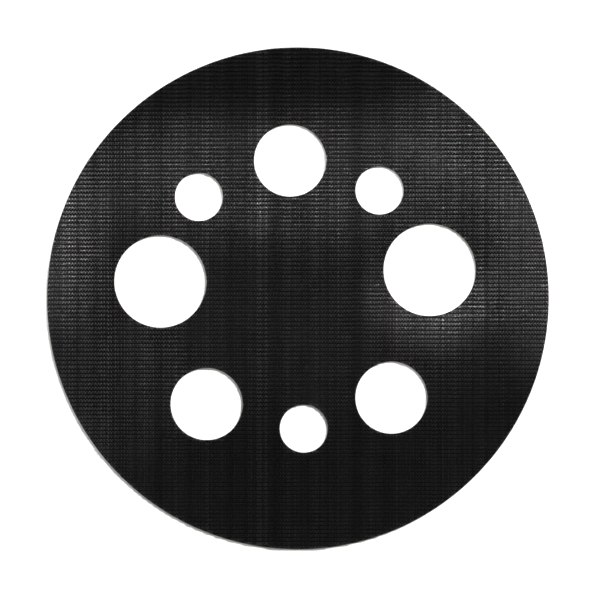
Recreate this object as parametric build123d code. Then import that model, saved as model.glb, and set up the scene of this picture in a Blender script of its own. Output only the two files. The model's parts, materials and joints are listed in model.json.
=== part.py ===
"""Hook-faced pad disc for a 125 mm random orbital sander, with adhesive back and split release liner.

A thin flexible laminate, die-cut in one stroke, so every layer has the same round outline and the same
eight dust holes. It lies flat with its hooks up, as it comes out of the packet:

    hook_sheet             moulded nylon sheet, base film and hooks in one piece
    laminating_adhesive    glue that holds the hook sheet on the cloth
    reinforcing_cloth      cloth that keeps the hook sheet from stretching
    upper_adhesive         upper face of the double-coated tape
    carrier_film           polyester film inside the tape
    lower_adhesive         sticky face that goes on the sander's own pad
    release_liner_left     coated paper, peeled off before the disc is stuck down
    release_liner_right    the same paper, beyond a straight slit that lets it be peeled

Millimetres. +Z is the disc's axis and points out of the hook face. The origin is the disc's centre on
the surface that it lies on. The hook rows run along X.
"""
from build123d import *

import os
from math import cos, radians, sin

# ---- outline -------------------------------------------------------------------------------------
DISC_DIAMETER = 125.0
LARGE_HOLE = 23.0  # serves an 8-hole and a 5-hole pad at places where their holes nearly meet
MEDIUM_HOLE = 18.0
SMALL_HOLE = 12.0  # serves an 8-hole pad only

# Each dust hole: angle from +X in degrees, distance of its centre from the disc's centre, diameter.
# The pitch circle is nominally 68 mm; the punch places each hole within about 1.5 mm of it.
DUST_HOLES = [
    (93.2, 34.4, MEDIUM_HOLE),
    (52.9, 33.7, SMALL_HOLE),
    (12.2, 33.6, LARGE_HOLE),
    (-46.7, 34.0, MEDIUM_HOLE),
    (-87.4, 32.5, SMALL_HOLE),
    (-130.8, 34.8, MEDIUM_HOLE),
    (173.0, 34.5, LARGE_HOLE),
    (134.3, 35.3, SMALL_HOLE),
]

# ---- layers, from the table up ---------------------------------------------------------------------
LINER_THICKNESS = 0.10
RELEASE_GAP = 0.02  # the silicone-coated liner and the adhesive touch without bonding
ADHESIVE_THICKNESS = 0.13  # each face of the double-coated tape
CARRIER_THICKNESS = 0.05
CLOTH_THICKNESS = 0.40
LAMINATING_THICKNESS = 0.08
BASE_FILM_THICKNESS = 0.30  # the hook sheet's own film, under its hooks
HOOK_HEIGHT = 0.90  # the hooks stand this far above their film

# ---- liner slit ------------------------------------------------------------------------------------
SLIT_WIDTH = 0.20  # the knife cut, opened up a little by the lie of the paper


def hole_centre(angle, distance):
    """The centre of a hole, from its polar place on the disc."""
    return (distance * cos(radians(angle)), distance * sin(radians(angle)))


def die_cut(z_bottom, thickness):
    """One layer of the laminate: the round outline with its eight holes."""
    with BuildPart() as layer:
        with BuildSketch(Plane.XY.offset(z_bottom)):
            Circle(DISC_DIAMETER / 2)
            for angle, distance, diameter in DUST_HOLES:
                with Locations(hole_centre(angle, distance)):
                    Circle(diameter / 2, mode=Mode.SUBTRACT)
        extrude(amount=thickness)
    return layer.part


def side_of_slit(layer, side):
    """The part of a layer on one side of the slit along Y: side is -1 for -X, or 1 for +X."""
    reach = DISC_DIAMETER
    keep = Pos(side * (SLIT_WIDTH / 2 + reach / 2), 0, 0) * Box(reach, 2 * reach, 2 * reach)
    return layer & keep


# ---- the pieces --------------------------------------------------------------------------------------
liner = die_cut(0, LINER_THICKNESS)
parts = {
    "release_liner_left": side_of_slit(liner, -1),
    "release_liner_right": side_of_slit(liner, 1),
}

pad_layers = [
    ("lower_adhesive", ADHESIVE_THICKNESS),
    ("carrier_film", CARRIER_THICKNESS),
    ("upper_adhesive", ADHESIVE_THICKNESS),
    ("reinforcing_cloth", CLOTH_THICKNESS),
    ("laminating_adhesive", LAMINATING_THICKNESS),
    ("hook_sheet", BASE_FILM_THICKNESS + HOOK_HEIGHT),
]
z = LINER_THICKNESS + RELEASE_GAP
for name, thickness in pad_layers:
    parts[name] = die_cut(z, thickness)
    z += thickness

os.makedirs("parts", exist_ok=True)
for name, part in parts.items():
    part.label = name
    export_step(part, f"parts/{name}.step")

print(f"{len(parts)} nodes, {z:.2f} mm thick")
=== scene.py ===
"""Looks for the hook pad disc: real hooks on its sheet, a finish for each layer, floor, light and camera."""
import json
import math

import bpy
import numpy as np
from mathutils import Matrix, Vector
from mathutils.geometry import delaunay_2d_cdt


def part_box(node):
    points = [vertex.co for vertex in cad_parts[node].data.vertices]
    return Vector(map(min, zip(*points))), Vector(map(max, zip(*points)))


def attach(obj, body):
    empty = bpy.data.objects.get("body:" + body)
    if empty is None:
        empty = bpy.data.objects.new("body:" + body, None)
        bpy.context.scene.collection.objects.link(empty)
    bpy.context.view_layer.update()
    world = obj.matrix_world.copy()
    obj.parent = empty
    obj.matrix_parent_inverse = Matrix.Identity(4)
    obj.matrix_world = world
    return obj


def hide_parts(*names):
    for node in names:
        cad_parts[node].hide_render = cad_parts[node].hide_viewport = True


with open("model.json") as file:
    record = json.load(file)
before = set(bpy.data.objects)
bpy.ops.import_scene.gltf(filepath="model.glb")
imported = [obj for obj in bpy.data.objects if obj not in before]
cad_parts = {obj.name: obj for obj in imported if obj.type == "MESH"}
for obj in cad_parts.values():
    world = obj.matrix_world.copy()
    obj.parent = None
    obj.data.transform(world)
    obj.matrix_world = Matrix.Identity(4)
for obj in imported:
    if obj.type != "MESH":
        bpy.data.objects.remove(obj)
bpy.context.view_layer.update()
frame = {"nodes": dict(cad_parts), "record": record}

MM = 0.001

# ---- the disc's own dimensions, read from the frame --------------------------------------------------
SHEET_LOW, SHEET_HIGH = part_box("hook_sheet")
CENTRE = (SHEET_LOW + SHEET_HIGH) / 2
RADIUS = (SHEET_HIGH.x - SHEET_LOW.x) / 2
FILM = 0.30 * MM  # the hook sheet's film; the hooks fill the rest of its height
FILM_TOP = SHEET_LOW.z + FILM
HOOK_HEIGHT = SHEET_HIGH.z - FILM_TOP
OPENING_REACH = 0.8  # of an opening's width: takes in its own hole's wall and no other


def dust_holes():
    """(x, y, radius) of each hole: its middle from the record's openings, its wall from the CAD mesh."""
    corners = np.array([v.co for v in frame["nodes"]["hook_sheet"].data.vertices])
    found = []
    for opening in frame["record"]["physics"]["openings"]:
        low, high = np.array(opening["box_m"])
        middle = (low + high)[:2] / 2
        reach = (high[0] - low[0]) * OPENING_REACH
        away = np.hypot(*(corners[:, :2] - middle).T)
        found.append((middle[0], middle[1], float(np.median(away[away < reach]))))
    return found


HOLES = dust_holes()

# ---- the hook field: sizes ---------------------------------------------------------------------------
LANE_PITCH = 0.36 * MM  # from lane to lane across X
HOOK_PITCH = 1.07 * MM  # from hook to hook along a lane, which runs along Y
HOOK_WIDTH = 0.21 * MM  # across the lane
CROWN_STAGGER = 0.15 * MM  # between the crowns of neighbouring lanes, which face opposite ways
CROWN_REACH = 0.12  # from a hook's origin to its crown along the lane, in parts of its height
LANES = int(RADIUS / LANE_PITCH)  # on each side of the middle one
SPARE_ROWS = 12  # for the rows drawn in towards the middle
ROWS = int(RADIUS / HOOK_PITCH) + SPARE_ROWS  # on each side of the middle one
LANES_IN_A_BAND = 27

DRAWN_FROM = -18 * MM  # below here along Y the rows are drawn closer together
DRAWN_OVER = 30 * MM  # and this much further down the drawing reaches its full share
DRAWN_SHARE = 0.09

# A hook seen from the side, as a bent band: back and inner edge at each station, from its foot to its
# tip, in parts of the hook's height. It leans over the way it faces.
HOOK_BACK = [(-0.36, 0.00), (-0.30, 0.40), (-0.25, 0.74), (-0.17, 0.91),
             (-0.02, 0.97), (0.14, 1.00), (0.26, 0.97), (0.32, 0.80)]
HOOK_INNER = [(0.18, 0.00), (0.06, 0.29), (0.02, 0.56), (0.03, 0.68),
              (0.08, 0.76), (0.15, 0.80), (0.20, 0.79), (0.23, 0.72)]

# ---- the hook field: how it varies -------------------------------------------------------------------
HOOK_SEED = 5
LANE_TILT = 0.06  # radians: how much whole lanes lean sideways
HOOK_TILT = 0.042  # radians: how much single hooks do
HOOK_LEAN = 0.025  # radians: how much single hooks lean along their lane
HOOK_SHORTENING = 0.02  # how much shorter single hooks are, in parts of their height
WAVE_COUNT = 9
WAVE_LEAN = 0.035  # radians: how much each slow wave leans the hooks along their lane
WAVES_PER_MM = (0.05, 0.16)

# Roughness and specular level of the hooks' finishes, from the dullest to the glossiest.
NYLON_GLOSS = [(0.35, 0.13), (0.34, 0.20), (0.33, 0.34), (0.32, 0.56), (0.31, 0.90)]
CUT_FINISH = len(NYLON_GLOSS)  # the slot after those, for hooks that the die has cut
MIDDLE_FINISH = 2.0
FINISH_SPREAD = 0.7
STREAK_SEED = 8
BRIGHT_STREAKS = 21
BRIGHT_LIFT = 1.8  # in steps from finish to finish
BRIGHT_WIDTH = 0.32 * MM
DULL_STREAKS = 16
DULL_DROP = 1.6
DULL_WIDTH = 0.8 * MM

# ---- the die cut -------------------------------------------------------------------------------------
EDGE_MARGIN = 0.02 * MM  # cut hooks stay this far inside the die-cut wall
LEAST_INSIDE = 0.06 * MM  # a hook whose origin is nearer to the wall is gone
CUT_MOVE = 0.004 * MM  # a hook counts as cut where the wall moves a corner further than this,
CUT_NEAR = 0.30 * MM  # or where it stands nearer to the wall than this
CUT_SHARE = 0.5  # of the cut hooks, how many show the cut


def new_mesh_object(name, verts, quads, slots, flat):
    """A mesh object from numpy arrays of corners and four-cornered faces, with a slot for each face."""
    me = bpy.data.meshes.new(name)
    me.vertices.add(len(verts))
    me.vertices.foreach_set("co", verts.astype(np.float32).ravel())
    me.loops.add(quads.size)
    me.loops.foreach_set("vertex_index", quads.astype(np.int32).ravel())
    me.polygons.add(len(quads))
    me.polygons.foreach_set("loop_start", np.arange(0, quads.size, 4, dtype=np.int32))
    me.polygons.foreach_set("material_index", slots.astype(np.int32))
    me.attributes.new("sharp_face", "BOOLEAN", "FACE").data.foreach_set("value", flat)
    me.update(calc_edges=True)
    me.validate()
    ob = bpy.data.objects.new(name, me)
    bpy.context.scene.collection.objects.link(ob)
    return ob


def hook_template():
    """One hook at full size, at the origin: corners as (along, across, up), faces, which faces are flat."""
    back = np.array(HOOK_BACK) * HOOK_HEIGHT
    inner = np.array(HOOK_INNER) * HOOK_HEIGHT
    half = HOOK_WIDTH / 2
    corners = []
    for (back_u, back_z), (inner_u, inner_z) in zip(back, inner):
        corners += [(back_u, -half, back_z), (back_u, half, back_z)]
        corners += [(inner_u, half, inner_z), (inner_u, -half, inner_z)]
    faces, flat = [], []
    for station in range(len(back) - 1):
        a, b = 4 * station, 4 * station + 4
        for side, is_flat in ((0, False), (1, True), (2, False), (3, True)):
            following = (side + 1) % 4
            faces.append((a + side, a + following, b + following, b + side))
            flat.append(is_flat)
    tip = 4 * (len(back) - 1)
    faces.append((tip, tip + 1, tip + 2, tip + 3))
    flat.append(True)
    return np.array(corners), np.array(faces), np.array(flat)


def inside_edge(x, y):
    """How far each point is inside the die-cut outline, in metres; negative beyond it."""
    depth = RADIUS - np.hypot(x - CENTRE.x, y - CENTRE.y)
    for hole_x, hole_y, radius in HOLES:
        depth = np.minimum(depth, np.hypot(x - hole_x, y - hole_y) - radius)
    return depth


def cut_to_outline(x, y):
    """Moves points that reach past the rim or into a hole back to just inside the cut wall."""
    dx, dy = x - CENTRE.x, y - CENTRE.y
    away = np.maximum(np.hypot(dx, dy), 1e-9)
    scale = np.minimum(1, (RADIUS - EDGE_MARGIN) / away)
    x, y = CENTRE.x + dx * scale, CENTRE.y + dy * scale
    for hole_x, hole_y, radius in HOLES:
        dx, dy = x - hole_x, y - hole_y
        away = np.maximum(np.hypot(dx, dy), 1e-9)
        scale = np.maximum(1, (radius + EDGE_MARGIN) / away)
        x, y = hole_x + dx * scale, hole_y + dy * scale
    return x, y


# ---- lanes and waves, drawn at random before the single hooks ----------------------------------------
rng = np.random.default_rng(HOOK_SEED)
lane_tilt = rng.normal(0, LANE_TILT, 2 * LANES + 1)


def streak(at, middle, width):
    """1 at the middle of a streak, fading to nothing on both sides."""
    return np.exp(-((at - middle) / width) ** 2)


def lane_finish():
    """Which finish each lane has: near the middle one, with streaks of glossier and duller lanes."""
    at = np.arange(-LANES, LANES + 1) * LANE_PITCH
    gloss = MIDDLE_FINISH + rng.normal(0, FINISH_SPREAD, len(at))
    streaks = np.random.default_rng(STREAK_SEED)
    for middle in streaks.uniform(at[0], at[-1], BRIGHT_STREAKS):
        gloss += BRIGHT_LIFT * streak(at, middle, BRIGHT_WIDTH)
    for middle in streaks.uniform(at[0], at[-1], DULL_STREAKS):
        gloss -= DULL_DROP * streak(at, middle, DULL_WIDTH)
    return np.clip(np.round(gloss), 0, len(NYLON_GLOSS) - 1).astype(int)


finish_of_lane = lane_finish()
waves = [(rng.uniform(*WAVES_PER_MM), rng.uniform(0, math.tau), rng.uniform(0, math.tau))
         for _ in range(WAVE_COUNT)]


def lean_field(x, y):
    """A slow wander in how far the hooks lean along their lanes, which mottles the sheen."""
    total = np.zeros(len(x))
    for per_mm, heading, start in waves:
        along = (x * math.cos(heading) + y * math.sin(heading)) / MM
        total += np.sin(math.tau * per_mm * along + start)
    return WAVE_LEAN * total


def row_place(row):
    """Where a row of hooks lies along Y: the moulding is drawn closer together towards -Y."""
    y = row * HOOK_PITCH
    below = DRAWN_FROM - y
    drawn = np.clip(below / DRAWN_OVER, 0, 1)
    return y + drawn * below * DRAWN_SHARE


# ---- the hooks ---------------------------------------------------------------------------------------
template, template_faces, template_flat = hook_template()


def hook_places(first_lane, last_lane):
    """Origin, way it faces and lane of each hook that the die leaves on some neighbouring lanes."""
    lane, row = np.meshgrid(np.arange(first_lane, last_lane), np.arange(-ROWS, ROWS + 1), indexing="ij")
    lane, row = lane.ravel(), row.ravel()
    facing = np.where(lane % 2, 1.0, -1.0)
    x = CENTRE.x + lane * LANE_PITCH
    y = CENTRE.y + row_place(row) - facing * (CROWN_REACH * HOOK_HEIGHT - CROWN_STAGGER / 2)
    kept = inside_edge(x, y) > LEAST_INSIDE
    return x[kept], y[kept], facing[kept], lane[kept]


def hook_corners(x, y, facing, lane):
    """The corners of each hook, leaning and tilting a little its own way, before the die cuts it."""
    along, across, up = (template[None, :, axis] for axis in range(3))
    lean = rng.normal(0, HOOK_LEAN, len(x)) + lean_field(x, y)
    tall = 1 - np.abs(rng.normal(0, HOOK_SHORTENING, len(x)))
    tilt = lane_tilt[lane + LANES] + rng.normal(0, HOOK_TILT, len(x))
    forward = along + lean[:, None] * up
    sideways = across + tilt[:, None] * up
    z = (up - tilt[:, None] * across) * tall[:, None] + FILM_TOP
    z = np.clip(z, FILM_TOP, SHEET_HIGH.z)
    return x[:, None] + sideways, y[:, None] + facing[:, None] * forward, z


def hook_band(name, first_lane, last_lane):
    """The hooks of some neighbouring lanes, as one mesh, and how many they are."""
    x, y, facing, lane = hook_places(first_lane, last_lane)
    count = len(x)
    corner_x, corner_y, z = hook_corners(x, y, facing, lane)
    cut_x, cut_y = cut_to_outline(corner_x, corner_y)
    moved = np.hypot(cut_x - corner_x, cut_y - corner_y)
    was_cut = (moved > CUT_MOVE).any(1) | (inside_edge(x, y) < CUT_NEAR)
    finish = finish_of_lane[lane + LANES]
    finish[was_cut & (rng.random(count) < CUT_SHARE)] = CUT_FINISH
    verts = np.stack([cut_x, cut_y, z], -1).reshape(-1, 3)
    faces = template_faces[None] + (np.arange(count) * len(template))[:, None, None]
    turned = facing > 0
    faces[turned] = faces[turned][:, :, ::-1]
    slots = np.repeat(finish, len(template_faces))
    ob = new_mesh_object(name, verts, faces.reshape(-1, 4), slots, np.tile(template_flat, count))
    return ob, count


# ---- the film under the hooks ------------------------------------------------------------------------
GRID = 4 * MM  # between the film's inner points
GRID_CLEARANCE = 0.3  # inner points stay this share of the grid away from the cut wall
WALL_STEP = 0.7 * MM  # between points along a cut wall
LEAST_WALL_POINTS = 48
INSIDE_ONLY = 1  # delaunay_2d_cdt's mode that drops triangles outside the outline
MERGE_WITHIN = 1e-7


def wall_rings():
    """Points along the rim and the holes' walls, and the edges that join them."""
    points, edges = [], []
    for x, y, radius in [(CENTRE.x, CENTRE.y, RADIUS)] + HOLES:
        count = max(LEAST_WALL_POINTS, int(math.tau * radius / WALL_STEP))
        start = len(points)
        for i in range(count):
            angle = math.tau * i / count
            points.append(Vector((x + radius * math.cos(angle), y + radius * math.sin(angle))))
            edges.append((start + i, start + (i + 1) % count))
    return points, edges


def inner_points():
    """A staggered grid of points between the walls."""
    points = []
    reach = int(RADIUS / GRID)
    for i in range(-reach, reach + 1):
        for j in range(-reach, reach + 1):
            x, y = CENTRE.x + (i + 0.5 * (j % 2)) * GRID, CENTRE.y + j * GRID
            if float(inside_edge(np.array(x), np.array(y))) > GRID * GRID_CLEARANCE:
                points.append(Vector((x, y)))
    return points


def die_cut_mesh(name, bottom, top):
    """A layer of the laminate between two heights, as a closed mesh."""
    rings, edges = wall_rings()
    points, _, triangles, *_ = delaunay_2d_cdt(rings + inner_points(), edges, [], INSIDE_ONLY, MERGE_WITHIN)
    points = np.array([tuple(point) for point in points])
    triangles = np.array(triangles)
    middles = points[triangles].mean(1)
    triangles = triangles[inside_edge(middles[:, 0], middles[:, 1]) > 0]
    count = len(points)
    verts = [(x, y, top) for x, y in points] + [(x, y, bottom) for x, y in points]
    faces = [tuple(t) for t in triangles] + [tuple(count + i for i in t[::-1]) for t in triangles]
    sides = [side for a, b, c in triangles for side in ((a, b), (b, c), (c, a))]
    inner = set(sides)
    for a, b in sides:
        if (b, a) not in inner:
            faces.append((b, a, count + a, count + b))
    me = bpy.data.meshes.new(name)
    me.from_pydata(verts, [], faces)
    me.update()
    ob = bpy.data.objects.new(name, me)
    bpy.context.scene.collection.objects.link(ob)
    return ob


# ---- materials ---------------------------------------------------------------------------------------
NYLON = (0.0042, 0.0042, 0.0043)
CUT_NYLON = (0.035, 0.035, 0.036)
THREAD_PITCH = 0.45 * MM
NOISE_DETAIL = 6
TONES_FROM, TONES_TO = 0.35, 0.68  # of the noise: where the first tone ends and the second begins
WAVE_RATE = 20  # Blender's wave texture repeats every tau / (WAVE_RATE * scale)
WAVE_DISTORTION = 0.6


def material(name, color, roughness, **sockets):
    """A plain finish; other sockets of its shader go by name, with underscores for spaces."""
    m = bpy.data.materials.new(name)
    m.use_nodes = True
    shader = m.node_tree.nodes["Principled BSDF"]
    shader.inputs["Base Color"].default_value = (*color, 1)
    shader.inputs["Roughness"].default_value = roughness
    for key, value in sockets.items():
        shader.inputs[key.replace("_", " ")].default_value = value
    return m


def add_relief(m, height, distance):
    """Bumps a finish by the given output, this many metres high."""
    nodes, links = m.node_tree.nodes, m.node_tree.links
    bump = nodes.new("ShaderNodeBump")
    bump.inputs["Distance"].default_value = distance
    links.new(height, bump.inputs["Height"])
    links.new(bump.outputs["Normal"], nodes["Principled BSDF"].inputs["Normal"])


def mottled(name, low, high, grain, roughness, relief=0.0, stretch=(1, 1, 1), **sockets):
    """A finish whose colour wanders between two tones, with grain in metres and a little relief."""
    m = material(name, low, roughness, **sockets)
    nodes, links = m.node_tree.nodes, m.node_tree.links
    place = nodes.new("ShaderNodeTexCoord")
    mapping = nodes.new("ShaderNodeMapping")
    mapping.inputs["Scale"].default_value = stretch
    noise = nodes.new("ShaderNodeTexNoise")
    noise.inputs["Scale"].default_value = 1 / grain
    noise.inputs["Detail"].default_value = NOISE_DETAIL
    ramp = nodes.new("ShaderNodeValToRGB")
    ramp.color_ramp.elements[0].position = TONES_FROM
    ramp.color_ramp.elements[0].color = (*low, 1)
    ramp.color_ramp.elements[1].position = TONES_TO
    ramp.color_ramp.elements[1].color = (*high, 1)
    links.new(place.outputs["Object"], mapping.inputs["Vector"])
    links.new(mapping.outputs["Vector"], noise.inputs["Vector"])
    links.new(noise.outputs["Fac"], ramp.inputs["Fac"])
    links.new(ramp.outputs["Color"], nodes["Principled BSDF"].inputs["Base Color"])
    if relief:
        add_relief(m, noise.outputs["Fac"], relief)
    return m


def bands_texture(m, direction, pitch):
    """A wave texture across X or Y with the given pitch in metres."""
    wave = m.node_tree.nodes.new("ShaderNodeTexWave")
    wave.bands_direction = direction
    wave.inputs["Scale"].default_value = math.tau / (WAVE_RATE * pitch)
    wave.inputs["Distortion"].default_value = WAVE_DISTORTION
    place = m.node_tree.nodes.new("ShaderNodeTexCoord")
    m.node_tree.links.new(place.outputs["Object"], wave.inputs["Vector"])
    return wave


def film_finish():
    """Black film under the hooks, with a very faint gloss and a low ridge along each lane."""
    m = mottled("hook_film", (0.005, 0.005, 0.0052), (0.008, 0.008, 0.008), grain=3 * MM,
                roughness=0.6, Specular_IOR_Level=0.006)
    ridges = bands_texture(m, "X", LANE_PITCH)
    add_relief(m, ridges.outputs["Fac"], distance=0.02 * MM)
    return m


def cloth_finish():
    """Black woven cloth: warp and weft as two sets of bands."""
    m = material("cloth", (0.01, 0.01, 0.01), roughness=0.9)
    nodes, links = m.node_tree.nodes, m.node_tree.links
    warp = bands_texture(m, "X", THREAD_PITCH)
    weft = bands_texture(m, "Y", THREAD_PITCH)
    weave = nodes.new("ShaderNodeMath")
    weave.operation = "MAXIMUM"
    links.new(warp.outputs["Fac"], weave.inputs[0])
    links.new(weft.outputs["Fac"], weave.inputs[1])
    ramp = nodes.new("ShaderNodeValToRGB")
    ramp.color_ramp.elements[0].color = (0.004, 0.004, 0.004, 1)
    ramp.color_ramp.elements[1].color = (0.022, 0.022, 0.023, 1)
    links.new(weave.outputs["Value"], ramp.inputs["Fac"])
    links.new(ramp.outputs["Color"], nodes["Principled BSDF"].inputs["Base Color"])
    add_relief(m, weave.outputs["Value"], distance=0.08 * MM)
    return m


def paper_finish():
    """Light kraft paper with its fibres along Y, and no gloss."""
    return mottled("liner_paper", (0.41, 0.36, 0.275), (0.49, 0.44, 0.35), grain=0.9 * MM,
                   roughness=0.6, relief=0.01 * MM, stretch=(1, 0.25, 1), Specular_IOR_Level=0.0)


def tape_finish():
    """Amber tape adhesive, slightly uneven."""
    return mottled("tape_adhesive", (0.34, 0.26, 0.12), (0.46, 0.37, 0.19), grain=1.6 * MM,
                   roughness=0.30, relief=0.03 * MM, Specular_IOR_Level=0.1)


def hot_melt_finish():
    """Dark glue line between the hook sheet and the cloth."""
    return mottled("hot_melt", (0.02, 0.017, 0.012), (0.045, 0.038, 0.025), grain=2 * MM,
                   roughness=0.25, relief=0.03 * MM)


def polyester_finish():
    """Milky polyester film inside the tape."""
    return mottled("polyester", (0.42, 0.42, 0.40), (0.50, 0.50, 0.48), grain=5 * MM,
                   roughness=0.10)


hook_finishes = [material(f"nylon_{k}", NYLON, roughness, Specular_IOR_Level=level)
                 for k, (roughness, level) in enumerate(NYLON_GLOSS)]
hook_finishes.append(material("nylon_cut", CUT_NYLON, roughness=0.45))
film_black = film_finish()
cloth = cloth_finish()
paper = paper_finish()
tape = tape_finish()
hot_melt = hot_melt_finish()
polyester = polyester_finish()

# ---- the pieces --------------------------------------------------------------------------------------
total = 0
bands = []
for number, first in enumerate(range(-LANES, LANES + 1, LANES_IN_A_BAND), 1):
    band, count = hook_band(f"hooks_{number:02d}", first, min(first + LANES_IN_A_BAND, LANES + 1))
    for finish in hook_finishes:
        band.data.materials.append(finish)
    bands.append(band)
    total += count
print("hooks", total, "bands", len(bands))
film = die_cut_mesh("hook_film", SHEET_LOW.z, FILM_TOP)
film.data.materials.append(film_black)
for ob in bands + [film]:
    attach(ob, "pad")
    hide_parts("hook_sheet")
for node, finish in (("release_liner_left", paper), ("release_liner_right", paper),
                     ("lower_adhesive", tape), ("upper_adhesive", tape), ("carrier_film", polyester),
                     ("reinforcing_cloth", cloth), ("laminating_adhesive", hot_melt)):
    ob = frame["nodes"][node]
    ob.data.materials.clear()
    ob.data.materials.append(finish)

# ---- floor and backdrop ------------------------------------------------------------------------------
FLOOR_HALF = 3.0
FLOOR_Z = -0.02 * MM  # just under the liner
BACKDROP_SIDES = 96


def pale_floor():
    """A plain square floor."""
    me = bpy.data.meshes.new("floor")
    corners = [(-1, -1), (1, -1), (1, 1), (-1, 1)]
    me.from_pydata([(x * FLOOR_HALF, y * FLOOR_HALF, FLOOR_Z) for x, y in corners], [], [(0, 1, 2, 3)])
    floor = bpy.data.objects.new("floor", me)
    bpy.context.scene.collection.objects.link(floor)
    me.materials.append(material("floor", (0.85, 0.85, 0.85), roughness=0.9))


def backdrop(radius, height, brightness):
    """A low glowing wall all round, which fills the shadows softly and shows pale behind the disc."""
    angles = np.linspace(0, math.tau, BACKDROP_SIDES, endpoint=False)
    around = [(radius * math.cos(a), radius * math.sin(a)) for a in angles]
    verts = [(x, y, 0.0) for x, y in around] + [(x, y, height) for x, y in around]
    faces = []
    for i in range(BACKDROP_SIDES):
        following = (i + 1) % BACKDROP_SIDES
        faces.append((i, following, BACKDROP_SIDES + following, BACKDROP_SIDES + i))
    me = bpy.data.meshes.new("backdrop")
    me.from_pydata(verts, [], faces)
    glow = material("backdrop", (0.8, 0.8, 0.8), roughness=1.0, Emission_Strength=brightness,
                    Emission_Color=(1, 1, 1, 1))
    me.materials.append(glow)
    ob = bpy.data.objects.new("backdrop", me)
    bpy.context.scene.collection.objects.link(ob)


# ---- light -------------------------------------------------------------------------------------------
GLINT_AZIMUTH, GLINT_ELEVATION = math.radians(90), math.radians(76)  # of the spots, seen from the disc
GLINT_DISTANCE = 1.0
GLINT_LAMP_RADIUS = 5 * MM
# Soft oval patches of gloss on the hooks: name, aim (x, y) and size (x, y) in millimetres, watts.
GLINTS = [
    ("band", (-2, 30), (170, 38), 470),
    ("upper_right", (38, 43), (42, 26), 300),
    ("wash", (2, -3), (150, 60), 90),
    ("left", (-66, 15), (45, 56), 950),
    ("lower_left", (-55, -20), (68, 58), 145),
    ("right", (65, 18), (44, 88), 640),
    ("below_hole", (33, 0), (38, 26), 900),
]
KEY_PLACE = (0.38, 0.38, 1.25)
FILL_PLACE = (-0.8, -0.2, 0.9)
WORLD_STRENGTH = 0.14


def soft_box(name, place, size, power):
    """A rectangular area light that faces the origin."""
    light = bpy.data.lights.new(name, "AREA")
    light.shape = "RECTANGLE"
    light.size, light.size_y = size
    light.energy = power
    ob = bpy.data.objects.new(name, light)
    ob.location = place
    ob.rotation_euler = (Vector((0, 0, 0)) - Vector(place)).to_track_quat("-Z", "Y").to_euler()
    bpy.context.scene.collection.objects.link(ob)
    return ob


def focus_spot(name, aim, size, power):
    """A focusing spot with soft edges, seen only as gloss, thrown on an oval patch of the disc."""
    aim = Vector((aim[0] * MM, aim[1] * MM, SHEET_HIGH.z))
    level = math.cos(GLINT_ELEVATION)
    towards = Vector((level * math.cos(GLINT_AZIMUTH), level * math.sin(GLINT_AZIMUTH),
                      math.sin(GLINT_ELEVATION)))
    light = bpy.data.lights.new(name, "SPOT")
    light.energy = power
    light.shadow_soft_size = GLINT_LAMP_RADIUS
    light.spot_blend = 1.0
    light.spot_size = 2 * math.atan(size[1] * MM / 2 / GLINT_DISTANCE)
    ob = bpy.data.objects.new(name, light)
    ob.location = aim + GLINT_DISTANCE * towards
    ob.rotation_euler = (aim - ob.location).to_track_quat("-Z", "Y").to_euler()
    ob.scale = (size[0] / size[1], 1, 1)
    ob.visible_diffuse = False
    bpy.context.scene.collection.objects.link(ob)


def white_world(strength):
    """An even white surrounding."""
    world = bpy.data.worlds.new("studio")
    world.use_nodes = True
    background = world.node_tree.nodes["Background"]
    background.inputs["Color"].default_value = (1, 1, 1, 1)
    background.inputs["Strength"].default_value = strength
    bpy.context.scene.world = world


pale_floor()
for name, aim, size, power in GLINTS:
    focus_spot(name, aim, size, power)
soft_box("key", KEY_PLACE, size=(0.12, 0.12), power=26).visible_glossy = False
soft_box("sheen", KEY_PLACE, size=(0.5, 0.5), power=2.6).visible_diffuse = False
soft_box("fill", FILL_PLACE, size=(0.3, 0.3), power=2.5).visible_glossy = False
backdrop(radius=1.3, height=0.3, brightness=0.9)
white_world(WORLD_STRENGTH)
bpy.context.scene.view_settings.view_transform = "Standard"

# ---- camera ------------------------------------------------------------------------------------------
SENSOR_WIDTH = 36  # millimetres, as Blender counts the lens
CAMERA_DISTANCE = 0.9  # straight above the hooks
FRAME_WIDTH = 149.25 * MM  # of the hook plane, from edge to edge of the picture
CAMERA_X, CAMERA_Y = 0.52 * MM, -0.43 * MM  # the disc lies this little off the picture's middle

cam = bpy.data.cameras.new("camera")
cam.sensor_width = SENSOR_WIDTH
cam.lens = SENSOR_WIDTH * CAMERA_DISTANCE / FRAME_WIDTH
cam.clip_start = 0.01
cam.clip_end = 20
cam_ob = bpy.data.objects.new("camera", cam)
cam_ob.location = (CAMERA_X, CAMERA_Y, SHEET_HIGH.z + CAMERA_DISTANCE)
bpy.context.scene.collection.objects.link(cam_ob)
bpy.context.scene.camera = cam_ob
